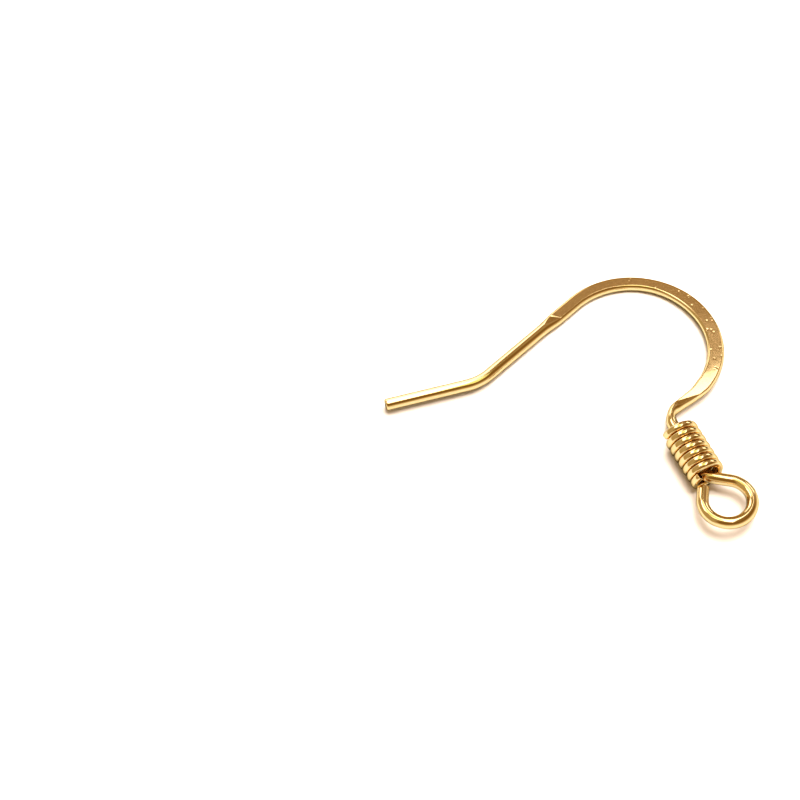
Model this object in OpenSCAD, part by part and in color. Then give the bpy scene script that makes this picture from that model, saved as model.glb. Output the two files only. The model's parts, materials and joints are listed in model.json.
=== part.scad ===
// Fish-hook ear wire with a flattened crown, a loose wound coil and a closed eye.
// The hook is drawn flat, with the crown's centre at [0, 0], and then laid on its side to rest
// on three places: the top of the leg, the rim of the crown and the coil.

/* [Wire] */
// Diameter of the round wire
wire_d = 0.7; // [0.6:0.01:0.8]
// Width of the wire where it is pressed flat
flat_w = 0.98; // [0.9:0.01:1.1]
// Thickness of the wire where it is pressed flat
flat_t = 0.45; // [0.36:0.01:0.55]
// Length of each ramp between round and flat wire
ramp_l = 0.85; // [0.6:0.05:1.1]

/* [Tail] */
// Length of the straight tail that goes through the ear
tail_l = 4.8; // [3:0.1:8]
// Slope of the tail in degrees
tail_slope = 15.7; // [6:0.1:25]
// Bevel round the cut tip of the tail
tip_bevel = 0.08; // [0.02:0.01:0.15]
// Radius of the flare between tail and leg
flare_r = 3; // [1.5:0.1:5]

/* [Leg] */
// Length of the round leg from the flare to the ramp
leg_l = 4.77; // [3:0.01:7]
// Slope of the leg in degrees
leg_slope = 44.5; // [38:0.5:50]
// Length of the flat stretch of the leg below the crown
leg_flat_l = 1.4; // [0.5:0.1:2.5]

/* [Crown] */
// Radius of the crown
crown_r = 4.71; // [4.4:0.01:5.5]
// Direction from the crown's centre where the front begins, in degrees
front_start = 21.5; // [5:0.5:30]
// Radius of the front
front_r = 4.27; // [3.8:0.01:4.3]
// Slope of the front where it meets the neck, in degrees
front_slope = 39.3; // [34:0.1:44]

/* [Neck] */
// Length of the round wire between the ramp and the neck's bend
neck_l = 0.33; // [0.1:0.01:0.8]
// Radius of the neck's bend
neck_r = 0.93; // [0.6:0.01:1.2]
// Slope of the shank that carries the coil, in degrees
shank_slope = 63.4; // [58:0.1:70]

/* [Coil] */
// How much wider the coil's bore is than the wire inside it
coil_play = 0.52; // [0.4:0.01:0.7]
// Diameter of the coil's wire
coil_wire_d = 0.44; // [0.35:0.01:0.5]
// Number of turns
coil_turns = 7.1; // [5.1:1:7.1]
// Direction in which the coil's first end points, in degrees from straight up
coil_first = -80; // [-120:5:-40]
// Clearance between one turn and the next, and between the hook and the turns it rests on
coil_gap = 0.02; // [0.01:0.005:0.04]
// Distance of the coil's first turn below the neck's bend
coil_seat = 0.7; // [0.6:0.05:1.2]
// How far the coil's last turn reaches over the sharp bend below it
coil_tuck = 0.35; // [0.2:0.01:0.4]

/* [Eye] */
// Diameter of the hole in the eye
eye_hole = 2.07; // [1.6:0.01:2.4]
// Radius of the sharp bend below the coil
bend_r = 0.5; // [0.4:0.01:0.6]
// Slope of the wire from that bend to the eye, in degrees
lead_slope = 11.1; // [8:0.1:14]
// Length of the straight wire from that bend to the eye
lead_l = 1.07; // [1:0.01:1.3]
// Degrees that the wire winds round the eye
eye_wrap = 265; // [255:1:268]
// Clearance between the wire's free end and the coil
end_gap = 0.05; // [0.03:0.01:0.2]

/* [Hidden] */
gold = [0.86, 0.66, 0.33];
$fn = 48;

// Each length of wire starts this far inside the one before it, and a bend is this much thicker
// than the straight wire that it joins
lap = 0.02;
skin = 0.006;

wire_r = wire_d / 2;
eye_r = (eye_hole + wire_d) / 2;
coil_r = (wire_d + coil_play + coil_wire_d) / 2;
coil_d = 2 * coil_r + coil_wire_d;
coil_pitch = coil_wire_d + coil_gap;
shank_l = coil_seat + coil_pitch * coil_turns - coil_tuck;

// The facets of the two ramps and of the coil
ramp_rings = 8;
ramp_sides = 28;
ramp_lap = 0.04;
ramp_fit = 0.98;
coil_rings = 24;
coil_sides = 10;

function dir(a) = [cos(a), sin(a)];

// The hook's route in its own plane, from the crown back to the tail
leg_top = crown_r * dir(leg_slope + 90);
leg_flat_foot = leg_top - leg_flat_l * dir(leg_slope);
leg_ramp_foot = leg_flat_foot - ramp_l * dir(leg_slope);
flare_top = leg_ramp_foot - leg_l * dir(leg_slope);
flare_c = flare_top + flare_r * dir(leg_slope + 90);
tail_top = flare_c + flare_r * dir(tail_slope - 90);
tail_tip = tail_top - tail_l * dir(tail_slope);

// The route from the crown on to the eye
front_c = (crown_r - front_r) * dir(front_start);
front_foot = front_c + front_r * dir(front_slope - 90);
neck_heading = front_slope + 180;
neck_ramp_foot = front_foot + ramp_l * dir(neck_heading);
neck_top = neck_ramp_foot + neck_l * dir(neck_heading);
neck_c = neck_top + neck_r * dir(neck_heading + 90);
shank_top = neck_c + neck_r * dir(270 - shank_slope);
shank_foot = shank_top + shank_l * dir(-shank_slope);
bend_c = shank_foot + bend_r * dir(90 - shank_slope);
lead_top = bend_c + bend_r * dir(-90 - lead_slope);
lead_foot = lead_top + lead_l * dir(-lead_slope);
eye_c = lead_foot + eye_r * dir(-90 - lead_slope);
eye_end_a = 90 - lead_slope - eye_wrap;
eye_end = eye_c + eye_r * dir(eye_end_a);

// The free end runs on until it is end_gap short of the coil's last turn on its side
last_left = 360 * floor((360 * coil_turns + coil_first + 90) / 360) - 90 - coil_first;
coil_foot = coil_seat + coil_pitch * last_left / 360 + coil_wire_d / 2;
free_slant = eye_end_a - 90 + shank_slope;
free_room = (eye_end - shank_top) * dir(-shank_slope) - coil_foot - end_gap;
free_l = (free_room - wire_r * abs(sin(free_slant))) / abs(cos(free_slant));

// Where the hook rests: each place in its plane, and how high the plane's middle lies there
rest_leg = leg_ramp_foot;
rest_leg_h = wire_r;
rest_crown_r = crown_r + (flat_w - flat_t) / 2;
rest_crown_h = flat_t / 2 + skin;
rest_coil = shank_top + (coil_seat + coil_pitch * (180 - coil_first) / 360) * dir(-shank_slope);
rest_coil_h = coil_wire_d + coil_gap + wire_r;

// How much the plane rises along its two directions when the crown rests on its rim at angle a
function rise(a) =
    let (p = rest_crown_r * dir(a))
    let (d = p - rest_leg, e = rest_coil - p)
    let (dh = rest_crown_h - rest_leg_h, eh = rest_coil_h - rest_crown_h)
    [dh * e.y - eh * d.y, eh * d.x - dh * e.x] / (d.x * e.y - e.x * d.y);

// The crown rests on the rim that is lowest, so each pass starts from the last one's slope
function settle(a, passes) =
    let (g = rise(a))
    passes == 0 ? g : settle(atan2(-g.y, -g.x), passes - 1);

lean = settle(leg_slope + 60, 12);
lean_a = asin(norm(lean));
lean_axis = [lean.y, -lean.x] / norm(lean);
lean_h = rest_leg_h - lean * rest_leg;

// Place of a point of the hook's plane once the hook is laid down
function lay(p) =
    let (along = (lean_axis * p) * (1 - cos(lean_a)) * lean_axis)
    let (flat = along + cos(lean_a) * p)
    [flat.x, flat.y, lean_h + lean * p];

x_low = lay(tail_tip).x - (wire_r - tip_bevel) * sin(tail_slope);
x_high = max(lay(eye_c).x + eye_r + wire_r + skin, lay(front_c).x + front_r + flat_w / 2);
y_low = lay(eye_c).y - eye_r - wire_r - skin;
y_high = lay([0, 0]).y + crown_r + flat_w / 2 + skin;

// The coil lies flat on the same surface, in line with the shank seen from above
coil_from = lay(shank_top + coil_seat * dir(-shank_slope));
coil_to = lay(shank_foot);
coil_heading = atan2(coil_to.y - coil_from.y, coil_to.x - coil_from.x);
coil_lift = atan(coil_pitch / (2 * PI * coil_r));

// Point of a slot-shaped section, half_w wide and half_t thick, at angle a round it
function slot_point(half_w, half_t, a) =
    [sign(cos(a)) * (half_w - half_t) + half_t * cos(a), half_t * sin(a)];

// Faces of a closed tube of rings, each of sides points
function tube_faces(rings, sides) = concat(
    [[for (j = [0:sides - 1]) j]],
    [for (i = [0:rings - 2], j = [0:sides - 1])
        let (k = (j + 1) % sides)
        [i * sides + j, (i + 1) * sides + j, (i + 1) * sides + k, i * sides + k]],
    [[for (j = [sides - 1:-1:0]) (rings - 1) * sides + j]]
);

module flat_section(extra = 0) {
    square([flat_w - flat_t, flat_t + 2 * extra], center = true);
    for (side = [-1, 1])
        translate([side * (flat_w - flat_t) / 2, 0])
            circle(d = flat_t + 2 * extra);
}

// Each length of wire starts at [0, 0, 0] and runs along x, and its children follow from its end

module run(length) {
    translate([-lap, 0, 0])
        rotate([0, 90, 0])
            cylinder(d = wire_d, h = length + lap);
    translate([length, 0, 0])
        children();
}

// Left by turned degrees, or right if turned is negative
module bend(radius, turned) {
    side = sign(turned);
    early = asin(lap / radius);
    mirror([0, side < 0 ? 1 : 0, 0])
        translate([0, radius, 0])
            rotate([0, 0, -90 - early])
                rotate_extrude(angle = abs(turned) + early)
                    translate([radius, 0])
                        circle(d = wire_d + 2 * skin);
    translate([0, side * radius, 0])
        rotate([0, 0, turned])
            translate([0, -side * radius, 0])
                children();
}

module flat_run(length) {
    translate([-lap, 0, 0])
        rotate([90, 0, 90])
            linear_extrude(length + lap)
                flat_section();
    translate([length, 0, 0])
        children();
}

// Right by turned degrees
module flat_bend(radius, turned, extra = 0) {
    early = asin(lap / radius);
    translate([0, -radius, 0])
        rotate([0, 0, 90 - turned])
            rotate_extrude(angle = turned + early)
                translate([radius, 0])
                    flat_section(extra);
    translate([0, -radius, 0])
        rotate([0, 0, -turned])
            translate([0, radius, 0])
                children();
}

// From one section to the other over ramp_l, from round to flat unless reversed
module ramp(reversed = false) {
    points = [
        for (i = [0:ramp_rings])
            let (t = i / ramp_rings, u = reversed ? 1 - t : t, s = u * u * (3 - 2 * u))
            let (half_w = ramp_fit * (wire_d + s * (flat_w - wire_d)) / 2)
            let (half_t = ramp_fit * (wire_d + s * (flat_t - wire_d)) / 2)
            for (j = [0:ramp_sides - 1])
                let (p = slot_point(half_w, half_t, 360 * (j + 0.5) / ramp_sides))
                [t * (ramp_l + 2 * ramp_lap) - ramp_lap, p.x, p.y]
    ];
    polyhedron(points, tube_faces(ramp_rings + 1, ramp_sides));
    translate([ramp_l, 0, 0])
        children();
}

// From the top of the leg back to the tip of the tail
module leg_and_tail() {
    flat_run(leg_flat_l)
        ramp(reversed = true)
            run(leg_l)
                bend(flare_r, tail_slope - leg_slope)
                    run(tail_l - tip_bevel)
                        rotate([0, 90, 0])
                            cylinder(d1 = wire_d, d2 = wire_d - 2 * tip_bevel, h = tip_bevel);
}

// From the top of the leg over the crown to the free end of the eye
module crown_and_eye() {
    flat_bend(crown_r, leg_slope + 90 - front_start, skin)
        flat_bend(front_r, front_start + 90 - front_slope)
            ramp(reversed = true)
                run(neck_l)
                    bend(neck_r, 180 - shank_slope - front_slope)
                        run(shank_l)
                            bend(bend_r, shank_slope - lead_slope)
                                run(lead_l)
                                    bend(eye_r, -eye_wrap)
                                        run(free_l);
}

module flat_hook() {
    translate(leg_top)
        rotate([0, 0, leg_slope]) {
            crown_and_eye();
            rotate([0, 0, 180])
                leg_and_tail();
        }
}

// Moves what is drawn at its place on the surface so that the whole part is centred on [0, 0]
module centred() {
    translate([-(x_low + x_high) / 2, -(y_low + y_high) / 2, 0])
        children();
}

module ear_hook() {
    color(gold)
        centred()
            translate([0, 0, lean_h])
                rotate(a = lean_a, v = [lean_axis.x, lean_axis.y, 0])
                    flat_hook();
}

module coil() {
    rings = ceil(coil_rings * coil_turns) + 1;
    wire = coil_wire_d / 2;
    points = [
        for (i = [0:rings - 1])
            let (turned = 360 * coil_turns * i / (rings - 1), a = coil_first + turned)
            for (j = [0:coil_sides - 1])
                let (b = 360 * (j + 0.5) / coil_sides)
                let (out = coil_r + wire * cos(b), side = wire * sin(b))
                [
                    coil_pitch * turned / 360 + side * cos(coil_lift),
                    out * sin(a) - side * sin(coil_lift) * cos(a),
                    out * cos(a) + side * sin(coil_lift) * sin(a)
                ]
    ];
    color(gold)
        centred()
            translate([coil_from.x, coil_from.y, coil_d / 2])
                rotate([0, 0, coil_heading])
                    polyhedron(points, tube_faces(rings, coil_sides));
}

ear_hook();
coil();
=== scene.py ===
import json
import math
import bmesh
import bpy
from mathutils import Matrix, Vector


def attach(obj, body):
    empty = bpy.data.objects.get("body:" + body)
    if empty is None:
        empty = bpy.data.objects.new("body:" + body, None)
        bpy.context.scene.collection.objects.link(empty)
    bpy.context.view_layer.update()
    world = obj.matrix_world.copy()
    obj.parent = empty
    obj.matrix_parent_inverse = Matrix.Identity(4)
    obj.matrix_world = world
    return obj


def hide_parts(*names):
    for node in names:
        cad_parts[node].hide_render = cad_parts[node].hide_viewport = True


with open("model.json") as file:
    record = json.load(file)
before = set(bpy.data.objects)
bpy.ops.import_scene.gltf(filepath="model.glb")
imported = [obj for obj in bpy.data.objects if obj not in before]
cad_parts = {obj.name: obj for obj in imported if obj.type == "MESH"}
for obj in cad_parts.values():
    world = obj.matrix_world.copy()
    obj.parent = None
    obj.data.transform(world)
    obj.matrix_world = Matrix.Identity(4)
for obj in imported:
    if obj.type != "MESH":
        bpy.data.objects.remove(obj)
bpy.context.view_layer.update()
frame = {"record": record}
mm = 0.001
weldDistance = 0.0005 * mm


# Small helpers

def smoothStep(low, high, value):
    t = min(max((value - low) / (high - low), 0.0), 1.0)
    return t * t * (3 - 2 * t)


def unitAt(degrees):
    return Vector((math.cos(math.radians(degrees)), math.sin(math.radians(degrees)), 0))


def newEdges(geom):
    return [item for item in geom if isinstance(item, bmesh.types.BMEdge)]


def newVerts(geom):
    return [item for item in geom if isinstance(item, bmesh.types.BMVert)]


def finishPiece(bm, name, material, node):
    bmesh.ops.remove_doubles(bm, verts=bm.verts[:], dist=weldDistance)
    bmesh.ops.recalc_face_normals(bm, faces=bm.faces[:])
    for face in bm.faces:
        face.smooth = True
    mesh = bpy.data.meshes.new(name)
    bm.to_mesh(mesh)
    bm.free()
    piece = bpy.data.objects.new(name, mesh)
    bpy.context.scene.collection.objects.link(piece)
    mesh.materials.append(material)
    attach(piece, "root")
    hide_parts(node)
    print(name, "has", sum(len(face.vertices) - 2 for face in mesh.polygons), "triangles")


# Shader nodes, written as expressions

class Socket:
    def __init__(self, shader, link):
        self.shader, self.link = shader, link

    def math(self, operation, other):
        return self.shader.add("ShaderNodeMath", {"operation": operation}, self, other)

    def __add__(self, other):
        return self.math("ADD", other)

    def __sub__(self, other):
        return self.math("SUBTRACT", other)

    def __rsub__(self, other):
        return self.shader.add("ShaderNodeMath", {"operation": "SUBTRACT"}, other, self)

    def __mul__(self, other):
        return self.math("MULTIPLY", other)

    def __truediv__(self, other):
        return self.math("DIVIDE", other)

    __radd__ = __add__
    __rmul__ = __mul__


class Shader:
    def __init__(self, owner):
        self.tree = owner.node_tree
        self.tree.nodes.clear()

    def feed(self, node, key, value):
        if isinstance(value, Socket):
            self.tree.links.new(value.link, node.inputs[key])
        else:
            node.inputs[key].default_value = value

    # settings come first, then the values or links of the sockets, in order or by name
    def add(self, kind, settings=None, *values, output=0, **named):
        node = self.tree.nodes.new(kind)
        for name, value in (settings or {}).items():
            setattr(node, name, value)
        for key, value in enumerate(values):
            self.feed(node, key, value)
        for name, value in named.items():
            self.feed(node, name.replace("_", " "), value)
        return Socket(self, node.outputs[output]) if node.outputs else None

    def noise(self, place, scale, detail):
        return self.add("ShaderNodeTexNoise", Vector=place, Scale=scale, Detail=detail)

    def step(self, value, low, high):
        return self.add("ShaderNodeMapRange", {"interpolation_type": "SMOOTHSTEP"}, value, low, high)

    def between(self, value, low, high, soft):
        return self.step(value, low - soft, low + soft) * (1 - self.step(value, high - soft, high + soft))

    def along(self, place, axis):
        return self.add("ShaderNodeVectorMath", {"operation": "DOT_PRODUCT"}, place, axis, output=1)

    def ramp(self, factor, stops):
        node = self.tree.nodes.new("ShaderNodeValToRGB")
        self.feed(node, 0, factor)
        elements = node.color_ramp.elements
        while len(elements) < len(stops):
            elements.new(0.5)
        for element, (place, colour) in zip(elements, stops):
            element.position = place
            element.color = (*colour, 1)
        return Socket(self, node.outputs[0])

    def mixColour(self, factor, first, second):
        node = self.tree.nodes.new("ShaderNodeMix")
        node.data_type = "RGBA"
        self.feed(node, 0, factor)
        for key, colour in ((6, first), (7, second)):
            self.feed(node, key, colour if isinstance(colour, Socket) else (*colour, 1))
        return Socket(self, node.outputs[2])


# Gold plate, mottled and with a few tiny nicks where it is pressed

gold = {
    "colour": (1.0, 0.75, 0.4),
    "edgeColour": (0.42, 0.32, 0.2),
    "darkest": 0.92,
    "roughness": 0.07,
    "pressedRoughness": 0.12,
    "fineRoughness": 0.03,
    "softScale": 900.0,
    "softDetail": 3.0,
    "softTone": 0.5,
    "softHeight": 0.4,
    "fineScale": 5200.0,
    "fineDetail": 2.0,
    "fineHeight": 0.1,
    "pressedHeight": 0.3,
    "mottleEdge": (0.35, 0.65),
    "mottleTone": 0.8,
    "mottleShift": 0.5,
    "nickScale": 2600.0,
    "nickEdge": (0.12, 0.3),
    "nickDepth": 6,
    "nicksTowards": (0.8, 0.6, 0),
    "nicksFrom": (7.4, 8.2),
    "bumpStrength": 0.15,
    "bumpDistance": 0.01,
}


def goldPlate(name, look):
    material = bpy.data.materials.new(name)
    material.use_nodes = True
    shader = Shader(material)
    place = shader.add("ShaderNodeTexCoord", output=3)
    pressed = shader.add("ShaderNodeAttribute", {"attribute_name": "pressed"}, output=2)
    soft = shader.noise(place, look["softScale"], look["softDetail"])
    fine = shader.noise(place, look["fineScale"], look["fineDetail"])
    mottle = shader.step(fine, *look["mottleEdge"]) * look["mottleTone"] - look["mottleShift"]
    tone = soft * look["softTone"] + look["softTone"] + pressed * mottle
    colour = shader.mixColour(tone, [c * look["darkest"] for c in look["colour"]], look["colour"])
    rougher = look["pressedRoughness"] - look["roughness"]
    rough = look["roughness"] + pressed * rougher + fine * look["fineRoughness"]
    cells = shader.add("ShaderNodeTexVoronoi", Vector=place, Scale=look["nickScale"])
    firstNicks, allNicks = [way * mm for way in look["nicksFrom"]]
    reached = shader.step(shader.along(place, look["nicksTowards"]), firstNicks, allNicks)
    nicks = pressed * (1 - shader.step(cells, *look["nickEdge"])) * reached
    grain = soft * look["softHeight"] + fine * (look["fineHeight"] + pressed * look["pressedHeight"])
    height = grain - nicks * look["nickDepth"]
    bump = shader.add("ShaderNodeBump", Height=height, Strength=look["bumpStrength"],
                      Distance=look["bumpDistance"] * mm)
    surface = shader.add("ShaderNodeBsdfPrincipled", Base_Color=colour, Metallic=1.0, Roughness=rough,
                         Normal=bump, Specular_Tint=(*look["edgeColour"], 1))
    shader.add("ShaderNodeOutputMaterial", None, surface)
    return material


# The hook: one wire, pressed flat over the crown and then bent. Lengths in mm, angles in degrees.

hook = {
    "wireRadius": 0.35,
    "sides": 96,
    "ringGap": 0.1,
    "fineRingGap": 0.035,
    "fineLegMargin": 0.4,
    "fineNeckMargin": 0.5,
    "tail": 4.8,
    "tailSlope": 15.7,
    "tipBevel": 0.08,
    "flareRadius": 3.0,
    "leg": 4.77,
    "legSlope": 44.5,
    "legRamp": 0.85,
    "legFlat": 1.4,
    "crownRadius": 4.71,
    "frontStart": 21.5,
    "frontRadius": 4.27,
    "frontSlope": 39.3,
    "frontRamp": 0.85,
    "neck": 0.33,
    "neckRadius": 0.93,
    "shank": 3.616,
    "shankSlope": 63.4,
    "sharpRadius": 0.5,
    "lead": 1.07,
    "leadSlope": 11.1,
    "eyeRadius": 1.385,
    "eyeWrap": 265,
    "freeEnd": 0.769,
    "freeRing": 0.1,
    "freeBevel": 0.04,
    "bevelSteps": 4,
}


class Route:
    # stretches are name, length and turn, in degrees to the left
    def __init__(self, heading, stretches):
        self.parts = []
        point, start = Vector((0, 0, 0)), 0.0
        for name, length, turn in stretches:
            self.parts.append((name, start, length, turn, point, heading))
            point, heading = self.along(length, length, turn, point, heading)
            start += length
        self.length = start

    def along(self, way, length, turn, point, heading):
        if not turn:
            return point + way * unitAt(heading), heading
        radius = length / math.radians(turn)
        turned = turn * way / length
        centre = point + radius * unitAt(heading + 90)
        return centre - radius * unitAt(heading + turned + 90), heading + turned

    def at(self, way):
        start, *stretch = [part[1:] for part in self.parts if part[1] <= way][-1]
        return self.along(way - start, *stretch)

    def start(self, wanted):
        return [part[1] for part in self.parts if part[0] == wanted][0]

    def end(self, wanted):
        return [part[1] + part[2] for part in self.parts if part[0] == wanted][0]


def bendLength(radius, turn):
    return radius * math.radians(abs(turn))


def hookRoute(size):
    flare = size["legSlope"] - size["tailSlope"]
    crown = size["frontStart"] - 90 - size["legSlope"]
    front = size["frontSlope"] - 90 - size["frontStart"]
    neck = 180 - size["shankSlope"] - size["frontSlope"]
    sharp = size["shankSlope"] - size["leadSlope"]
    return Route(size["tailSlope"], [
        ("tail", size["tail"], 0),
        ("flare", bendLength(size["flareRadius"], flare), flare),
        ("leg", size["leg"], 0),
        ("legRamp", size["legRamp"], 0),
        ("legFlat", size["legFlat"], 0),
        ("crown", bendLength(size["crownRadius"], crown), crown),
        ("front", bendLength(size["frontRadius"], front), front),
        ("frontRamp", size["frontRamp"], 0),
        ("neck", size["neck"], 0),
        ("neckBend", bendLength(size["neckRadius"], neck), neck),
        ("shank", size["shank"], 0),
        ("sharpBend", bendLength(size["sharpRadius"], sharp), sharp),
        ("lead", size["lead"], 0),
        ("eye", bendLength(size["eyeRadius"], size["eyeWrap"]), -size["eyeWrap"]),
        ("freeEnd", size["freeEnd"], 0),
    ])


route = hookRoute(hook)

# The eye's mount says where the hook's plane lies and how it leans
eyeMount = [mount for mount in frame["record"]["mounts"] if mount["name"] == "eye"][0]
eyeStart, eyeHeading = route.at(route.start("eye"))
eyeCentre = eyeStart - hook["eyeRadius"] * unitAt(eyeHeading + 90)
lean = Vector((0, 0, 1)).rotation_difference(Vector(eyeMount["axis"])).to_matrix().to_4x4()
eyePlace = Vector(eyeMount["pos_m"])
laidDown = Matrix.Translation(eyePlace) @ lean @ Matrix.Scale(mm, 4) @ Matrix.Translation(-eyeCentre)
crownStart, crownHeading = route.at(route.start("crown"))
crownCentre = crownStart - hook["crownRadius"] * unitAt(crownHeading + 90)

# Width and thickness of the wire where it is pressed, at places on the way round it
pressing = {
    "stations": [
        # place on the route, width, thickness
        (route.start("legRamp") - 0.5, 0.70, 0.50),
        (route.start("legFlat"), 0.88, 0.55),
        (route.start("crown") + 1.5, 0.87, 0.55),
        (route.start("crown") + 4.5, 0.84, 0.55),
        (route.start("front") - 1.2, 0.95, 0.50),
        (route.start("front") + 1.5, 0.97, 0.45),
        (route.end("front") - 1.2, 0.93, 0.45),
        (route.end("front"), 0.72, 0.45),
        (route.end("frontRamp") + 0.1, 0.63, 0.45),
        (route.start("neckBend") + 0.15, 0.62, 0.70),
        (route.end("neckBend") + 0.5, 0.70, 0.70),
    ],
    "edgeRound": 0.012,
    "pressedDepth": 0.03,
    # the edges of the die, through a point seen from the crown's centre, and the way to the flat
    "dieEdges": [
        {
            "through": Vector((-4.65, 2.27, 0)),
            "towards": Vector((0.196, 0.981, 0)),
            "rise": 0.17,
            "step": -0.016,
        },
        {
            "through": Vector((3.43, -3.16, 0)),
            "towards": Vector((-0.34, 0.94, 0)),
            "rise": 0.25,
            "step": 0.0,
        },
    ],
    "stepReach": (-0.07, 0.04),
}

# Past the crown the flat rolls a little, outer side down
roll = {
    "from": route.start("front") + bendLength(hook["frontRadius"], 36),
    "full": route.start("front") + bendLength(hook["frontRadius"], 50),
    "fade": route.end("frontRamp"),
    "end": route.start("neckBend"),
    "degrees": 1.2,
}

# The bending pliers pinch the neck
pinch = {
    "at": (route.start("neckBend") + route.end("neckBend")) / 2,
    "reach": 0.7,
    "width": 0.8,
    "thick": 1.08,
    "shift": 0.02,
}


# Width and thickness on the way round, with no thickness where the die doesn't reach
def stationAt(way):
    stations = pressing["stations"]
    if way <= stations[0][0] or way >= stations[-1][0]:
        return 2 * hook["wireRadius"], None
    for (fromWay, fromWidth, fromThick), (toWay, toWidth, toThick) in zip(stations, stations[1:]):
        if way <= toWay:
            t = smoothStep(fromWay, toWay, way)
            return fromWidth + t * (toWidth - fromWidth), fromThick + t * (toThick - fromThick)


# Height of the die above the middle of the wire at a point of the hook's plane
def dieHeight(way, point, thick):
    edge = pressing["dieEdges"][0 if way < route.start("front") else 1]
    short = edge["towards"].dot(edge["through"] - (point - crownCentre))
    stepped = edge["step"] * smoothStep(*pressing["stepReach"], short)
    return thick / 2 + max(short, 0) * edge["rise"] + stepped


def softLeast(value, limit, roundness):
    gap = value - limit
    return value - (gap + math.sqrt(gap * gap + roundness * roundness)) / 2


# Takes a point of the straight wire to the bent one, and says how much of it the die pressed
def bentPoint(co):
    way, across, up = co.x / mm, co.y / mm, co.z / mm
    point, heading = route.at(min(max(way, 0), route.length))
    width, thick = stationAt(way)
    pressed = 0.0
    if thick is not None:
        across *= width / (2 * hook["wireRadius"])
        place = point + across * unitAt(heading + 90)
        limit = dieHeight(way, place, thick)
        flat = softLeast(abs(up), limit, pressing["edgeRound"])
        pressed = smoothStep(0.0, pressing["pressedDepth"], abs(up) - limit)
        up = math.copysign(flat, up)
    rolled = smoothStep(roll["from"], roll["full"], way) - smoothStep(roll["fade"], roll["end"], way)
    turn = math.radians(roll["degrees"] * rolled)
    cosine, sine = math.cos(turn), math.sin(turn)
    across, up = across * cosine + up * sine, up * cosine - across * sine
    squeeze = 1 - smoothStep(0, pinch["reach"], abs(way - pinch["at"]))
    across = across * (1 + squeeze * (pinch["width"] - 1)) + squeeze * pinch["shift"]
    up *= 1 + squeeze * (pinch["thick"] - 1)
    return laidDown @ (point + across * unitAt(heading + 90) + Vector((0, 0, up))), pressed


# Where each length of straight wire ends, and the distance between its rings
def ringStretches():
    coarse, fine = hook["ringGap"], hook["fineRingGap"]
    tip, free = 2 * hook["tipBevel"], hook["freeRing"]
    return [
        (tip, tip),
        (route.start("legRamp") - hook["fineLegMargin"], coarse),
        (route.start("legFlat") + hook["fineLegMargin"], fine),
        (route.end("front") - hook["fineNeckMargin"], coarse),
        (route.end("neckBend") + hook["fineNeckMargin"], fine),
        (route.length - free, coarse),
        (route.length, free),
    ]


def closeEnd(bm, edges, offset, segments):
    bmesh.ops.contextual_create(bm, geom=edges)
    bmesh.ops.bevel(bm, geom=edges, offset=offset * mm, offset_type="OFFSET", segments=segments,
                    profile=0.5, affect="EDGES", material=-1)


def makeHook(material):
    bm = bmesh.new()
    facing = Matrix.Rotation(math.pi / 2, 4, "Y")
    bmesh.ops.create_circle(bm, segments=hook["sides"], radius=hook["wireRadius"] * mm, matrix=facing)
    rim = edges = bm.edges[:]
    start = 0.0
    for end, gap in ringStretches():
        grown = bmesh.ops.extrude_edge_only(bm, edges=edges)["geom"]
        edges = newEdges(grown)
        bmesh.ops.translate(bm, vec=((end - start) * mm, 0, 0), verts=newVerts(grown))
        lengthwise = {edge for vert in newVerts(grown) for edge in vert.link_edges} - set(edges)
        cuts = math.ceil((end - start) / gap) - 1
        if cuts:
            bmesh.ops.subdivide_edges(bm, edges=list(lengthwise), cuts=cuts)
        start = end
    closeEnd(bm, rim, hook["tipBevel"], hook["bevelSteps"])
    closeEnd(bm, edges, hook["freeBevel"], hook["bevelSteps"])
    layer = bm.verts.layers.float.new("pressed")
    for vert in bm.verts:
        vert.co, vert[layer] = bentPoint(vert.co)
    finishPiece(bm, "hookWire", material, "ear_hook")


# The coil: thinner wire wound round the shank, left-handed, lying level on the surface

coil = {
    "wireRadius": 0.22,
    "meanRadius": 0.83,
    "pitch": 0.46,
    "turns": 7.1,
    "firstEnd": -80,
    "seat": 0.7,
    "stepsPerTurn": 56,
    "sides": 28,
    "squareness": 2.7,      # 2 is a round section
    "endBevel": 0.03,
    "bevelSteps": 3,
}


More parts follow.
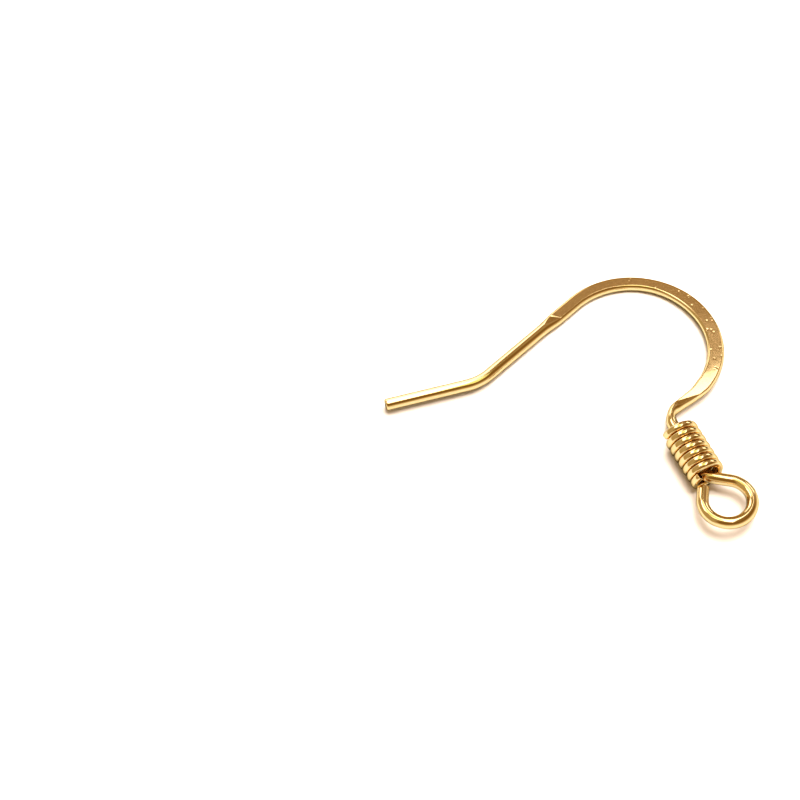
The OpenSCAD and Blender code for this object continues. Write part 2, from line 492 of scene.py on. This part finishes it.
def makeCoil(material):
    start, heading = route.at(route.start("shank") + coil["seat"])
    ahead = laidDown @ (start + unitAt(heading)) - laidDown @ start
    seat = laidDown @ start
    seat.z = (coil["meanRadius"] + coil["wireRadius"]) * mm
    level = math.atan2(ahead.y, ahead.x)
    steps = round(coil["turns"] * coil["stepsPerTurn"])
    lift = math.atan(coil["pitch"] / (2 * math.pi * coil["meanRadius"]))
    bm = bmesh.new()
    # the wire's end stands at the top of the coil, then turns to where the winding starts
    upright = Matrix.Rotation(lift, 4, "Z") @ Matrix.Rotation(math.pi / 2, 4, "X")
    atTop = Matrix.Translation((0, 0, coil["meanRadius"] * mm)) @ upright
    turnTo = Matrix.Rotation(-math.radians(coil["firstEnd"]), 4, "X")
    bmesh.ops.create_circle(bm, segments=coil["sides"], radius=coil["wireRadius"] * mm)
    for vert in bm.verts:
        side = vert.co.normalized()
        power = coil["squareness"]
        vert.co /= (abs(side.x) ** power + abs(side.y) ** power) ** (1 / power)
    bmesh.ops.transform(bm, matrix=turnTo @ atTop, verts=bm.verts[:])
    firstEnd = bm.edges[:]
    wound = bmesh.ops.spin(bm, geom=firstEnd, cent=(0, 0, 0), axis=(1, 0, 0),
                           dvec=(coil["pitch"] * coil["turns"] / steps * mm, 0, 0),
                           angle=-2 * math.pi * coil["turns"], steps=steps,
                           use_merge=False, use_normal_flip=False, use_duplicate=False)
    lastEnd = newEdges(wound["geom_last"])
    closeEnd(bm, firstEnd, coil["endBevel"], coil["bevelSteps"])
    closeEnd(bm, lastEnd, coil["endBevel"], coil["bevelSteps"])
    seated = Matrix.Translation(seat) @ Matrix.Rotation(level, 4, "Z")
    bmesh.ops.transform(bm, matrix=seated, verts=bm.verts[:])
    finishPiece(bm, "woundCoil", material, "coil")


# Stage: a white floor to be seen, and a darker one just above it that only the gold mirrors; both get
# painted shade near the wire

stage = {
    "floorSize": 900,
    "floorColour": (0.86, 0.77, 0.71),
    # each floor's colour is scaled down to these shares next to the wire, as painted shade
    "floorPaintedShade": 0.88,
    "floorRoughness": 0.9,
    "mirroredColour": (0.46, 0.48, 0.48),
    "mirroredPaintedShade": 0.15,
    "mirroredRise": 0.003,
    "paintedShadeReach": 0.7,      # how near the wire the painted contact shade darkens the floors
    "paintedShadeSamples": 8,
    "backdropRadius": 441,
    "backdropHeight": 800,
    "backdropSides": 96,
    "backdropColour": (1.0, 1.0, 1.0),
}


def makeFloor(name, colour, darkest):
    bm = bmesh.new()
    bmesh.ops.create_grid(bm, x_segments=1, y_segments=1, size=stage["floorSize"] / 2 * mm)
    mesh = bpy.data.meshes.new(name)
    bm.to_mesh(mesh)
    bm.free()
    floor = bpy.data.objects.new(name, mesh)
    bpy.context.scene.collection.objects.link(floor)
    material = bpy.data.materials.new(name)
    material.use_nodes = True
    shader = Shader(material)
    # painted shade: ambient occlusion darkens the floor's colour close to the wire and coil
    paintedShade = shader.add("ShaderNodeAmbientOcclusion", {"samples": stage["paintedShadeSamples"]}, output=1,
                       Distance=stage["paintedShadeReach"] * mm)
    withPaintedShade = shader.mixColour(paintedShade, [c * darkest for c in colour], colour)
    surface = shader.add("ShaderNodeBsdfPrincipled", Base_Color=withPaintedShade, Roughness=stage["floorRoughness"],
                         Specular_IOR_Level=0.0)
    shader.add("ShaderNodeOutputMaterial", None, surface)
    mesh.materials.append(material)
    return floor


def makeFloors():
    seen = makeFloor("floor", stage["floorColour"], stage["floorPaintedShade"])
    seen.visible_glossy = seen.visible_shadow = False
    mirrored = makeFloor("mirroredFloor", stage["mirroredColour"], stage["mirroredPaintedShade"])
    mirrored.location.z = stage["mirroredRise"] * mm
    mirrored.visible_camera = mirrored.visible_diffuse = mirrored.visible_shadow = False


# The room that the gold mirrors. Ways round it are in degrees to the right of the far side, and
# heights go from 0 at the horizon to 1 overhead.

room = {
    "glow": [(0.0, (0.85, 0.88, 0.85)), (0.15, (0.78, 0.74, 0.64)), (0.28, (0.6, 0.53, 0.4)),
             (0.43, (0.4, 0.31, 0.17)), (0.57, (0.26, 0.16, 0.05)), (0.71, (0.22, 0.12, 0.03)),
             (0.93, (0.27, 0.18, 0.07))],
    "sideEdge": 0.2,
    "leftAround": (-140, -50),
    "leftColour": (0.44, 0.36, 0.21),
    "rightAround": (0, 50),
    "rightColour": (0.36, 0.28, 0.19),
    # a bright wall on the far left, bluish low down
    "wallAround": (-48, 4),
    "wallTop": 0.68,
    "wallEdge": 0.06,
    "wallLowEnds": (0.2, 0.4),
    "wallLowColour": (0.75, 0.85, 1.0),
    "wallColour": (1.9, 1.85, 1.8),
    # a softbox overhead: its sides as distance over height, the left and near ones slanting past a point
    "boxLeft": -0.42,
    "boxRight": 0.22,
    "boxNear": -0.04,
    "boxEdge": 0.03,
    "boxLeftSlantFrom": 0.2,
    "boxLeftSlant": 0.45,
    "boxNearSlantFrom": -0.1,
    "boxNearSlant": 0.8,
    "boxFade": (0.3, 0.5),
    "boxColour": (2.4, 2.4, 2.4),
}


def makeWorld():
    world = bpy.data.worlds.new("studio")
    bpy.context.scene.world = world
    world.use_nodes = True
    shader = Shader(world)
    direction = shader.add("ShaderNodeTexCoord", output=0)
    height = shader.along(direction, (0, 0, 1))
    side = shader.along(direction, (1, 0, 0))
    far = shader.along(direction, (0, 1, 0))
    around = side.math("ARCTAN2", far)

    def within(ends, edge):
        return shader.between(around, math.radians(ends[0]), math.radians(ends[1]), edge)

    def above(value, limit, edge):
        return shader.step(value, limit - edge, limit + edge)

    def excess(value, limit):
        return (value - limit).math("MAXIMUM", 0.0)

    sky = shader.ramp(height, room["glow"])
    sky = shader.mixColour(within(room["leftAround"], room["sideEdge"]), sky, room["leftColour"])
    sky = shader.mixColour(within(room["rightAround"], room["sideEdge"]), sky, room["rightColour"])
    highUp = shader.step(height, *room["wallLowEnds"])
    wall = shader.mixColour(highUp, room["wallLowColour"], room["wallColour"])
    underTop = 1 - above(height, room["wallTop"], room["wallEdge"])
    inWall = within(room["wallAround"], room["wallEdge"]) * underTop
    sky = shader.mixColour(inWall, sky, wall)
    out, back = side / height, far / height
    leftSlant = out - excess(back, room["boxLeftSlantFrom"]) * room["boxLeftSlant"]
    nearSlant = back + excess(out, room["boxNearSlantFrom"]) * room["boxNearSlant"]
    fromLeft = above(leftSlant, room["boxLeft"], room["boxEdge"])
    toRight = 1 - above(out, room["boxRight"], room["boxEdge"])
    fromNear = above(nearSlant, room["boxNear"], room["boxEdge"])
    inBox = fromLeft * toRight * fromNear * shader.step(height, *room["boxFade"])
    sky = shader.mixColour(inBox, sky, room["boxColour"])
    shader.add("ShaderNodeOutputWorld", None, shader.add("ShaderNodeBackground", Color=sky))


# The lamp lights the floor, and the gold doesn't mirror it

lamp = {
    "place": (62, 62, 200),
    "size": 200,
    "glow": 8.0,
}


def makeLamp():
    data = bpy.data.lights.new("topLamp", "AREA")
    data.shape = "RECTANGLE"
    data.size = data.size_y = lamp["size"] * mm
    data.energy = lamp["glow"] * data.size * data.size_y * math.pi
    top = bpy.data.objects.new("topLamp", data)
    bpy.context.scene.collection.objects.link(top)
    top.location = Vector(lamp["place"]) * mm
    top.visible_glossy = False


# Cards that only the gold sees, as colour and corners

cards = [
    # white and pale yellow over the coil
    ((2.4, 2.4, 2.4), [(-12, -3, 25), (-2, -3, 25), (-2, 10, 25), (-12, 10, 25)]),
    ((0.9, 0.97, 0.52), [(-2, -7, 25), (7.5, -7, 25), (9, -1, 25), (8.5, 3, 25), (6, 8, 25), (-2, 9, 25)]),
    # brown over the leg
    ((0.36, 0.28, 0.14), [(6, 8.5, 25), (14, 8.5, 25), (14, 15, 25), (6, 15, 25)]),
    ((0.3, 0.22, 0.1), [(-2, 18, 40), (8, 18, 40), (8, 31, 40), (-2, 31, 40)]),
    # brown behind the crown, the lower one darker
    ((0.37, 0.27, 0.165), [(-6, 32, 22), (17, 32, 22), (17, 32, 43), (-6, 32, 43)]),
    ((0.28, 0.18, 0.07), [(-2.5, 32, 0), (24, 32, 0), (24, 32, 22), (-2.5, 32, 22)]),
    # white over dark on the right of those
    ((1.8, 1.75, 1.7), [(27, 32, 18), (45, 32, 18), (45, 32, 34), (27, 32, 34)]),
    ((0.12, 0.08, 0.03), [(25, 32, 2), (46, 32, 2), (46, 32, 17), (25, 32, 17)]),
]


# It glows, but lights nothing and casts no shadow
def makeGlowing(bm, name, colour):
    mesh = bpy.data.meshes.new(name)
    bm.to_mesh(mesh)
    bm.free()
    card = bpy.data.objects.new(name, mesh)
    bpy.context.scene.collection.objects.link(card)
    material = bpy.data.materials.new(name)
    material.use_nodes = True
    shader = Shader(material)
    glow = shader.add("ShaderNodeEmission", Color=(*colour, 1))
    shader.add("ShaderNodeOutputMaterial", None, glow)
    mesh.materials.append(material)
    card.visible_diffuse = card.visible_shadow = False
    return card


def makeCard(name, colour, corners):
    bm = bmesh.new()
    bmesh.ops.contextual_create(bm, geom=[bm.verts.new(Vector(corner) * mm) for corner in corners])
    makeGlowing(bm, name, colour).visible_camera = False


# A plain white backdrop round the floor, which the gold doesn't mirror
def makeBackdrop():
    bm = bmesh.new()
    radius = stage["backdropRadius"] * mm
    bmesh.ops.create_cone(bm, segments=stage["backdropSides"], radius1=radius, radius2=radius,
                          depth=stage["backdropHeight"] * mm)
    makeGlowing(bm, "backdrop", stage["backdropColour"]).visible_glossy = False


# Camera, at the photo's angle

view = {
    "target": (-9.4798, 0.3414, 0.0),
    "distance": 160.0,
    "elevation": 59.6,
    "width": 45.5,          # what the picture's side covers at the target
    "sensor": 36.0,
    "clip": (5, 5000),
    "exposure": 0.25,
    "gamma": 0.85,
}


def makeCamera():
    camera = bpy.data.objects.new("camera", bpy.data.cameras.new("camera"))
    bpy.context.scene.collection.objects.link(camera)
    rise = math.radians(view["elevation"])
    back = Vector((0, -math.cos(rise), math.sin(rise)))
    camera.location = (Vector(view["target"]) + view["distance"] * back) * mm
    camera.rotation_euler = (-back).to_track_quat("-Z", "Y").to_euler()
    camera.data.sensor_width = view["sensor"]
    camera.data.lens = view["sensor"] * view["distance"] / view["width"]
    camera.data.clip_start, camera.data.clip_end = [way * mm for way in view["clip"]]
    bpy.context.scene.camera = camera
    picture = bpy.context.scene.view_settings
    picture.view_transform = "Standard"
    picture.exposure, picture.gamma = view["exposure"], view["gamma"]


makeCamera()
print("camera placed")
makeFloors()
makeWorld()
makeBackdrop()
makeLamp()
for number, (colour, corners) in enumerate(cards):
    makeCard("card%d" % number, colour, corners)
print("stage and light made")
plate = goldPlate("goldPlate", gold)
makeHook(plate)
makeCoil(plate)
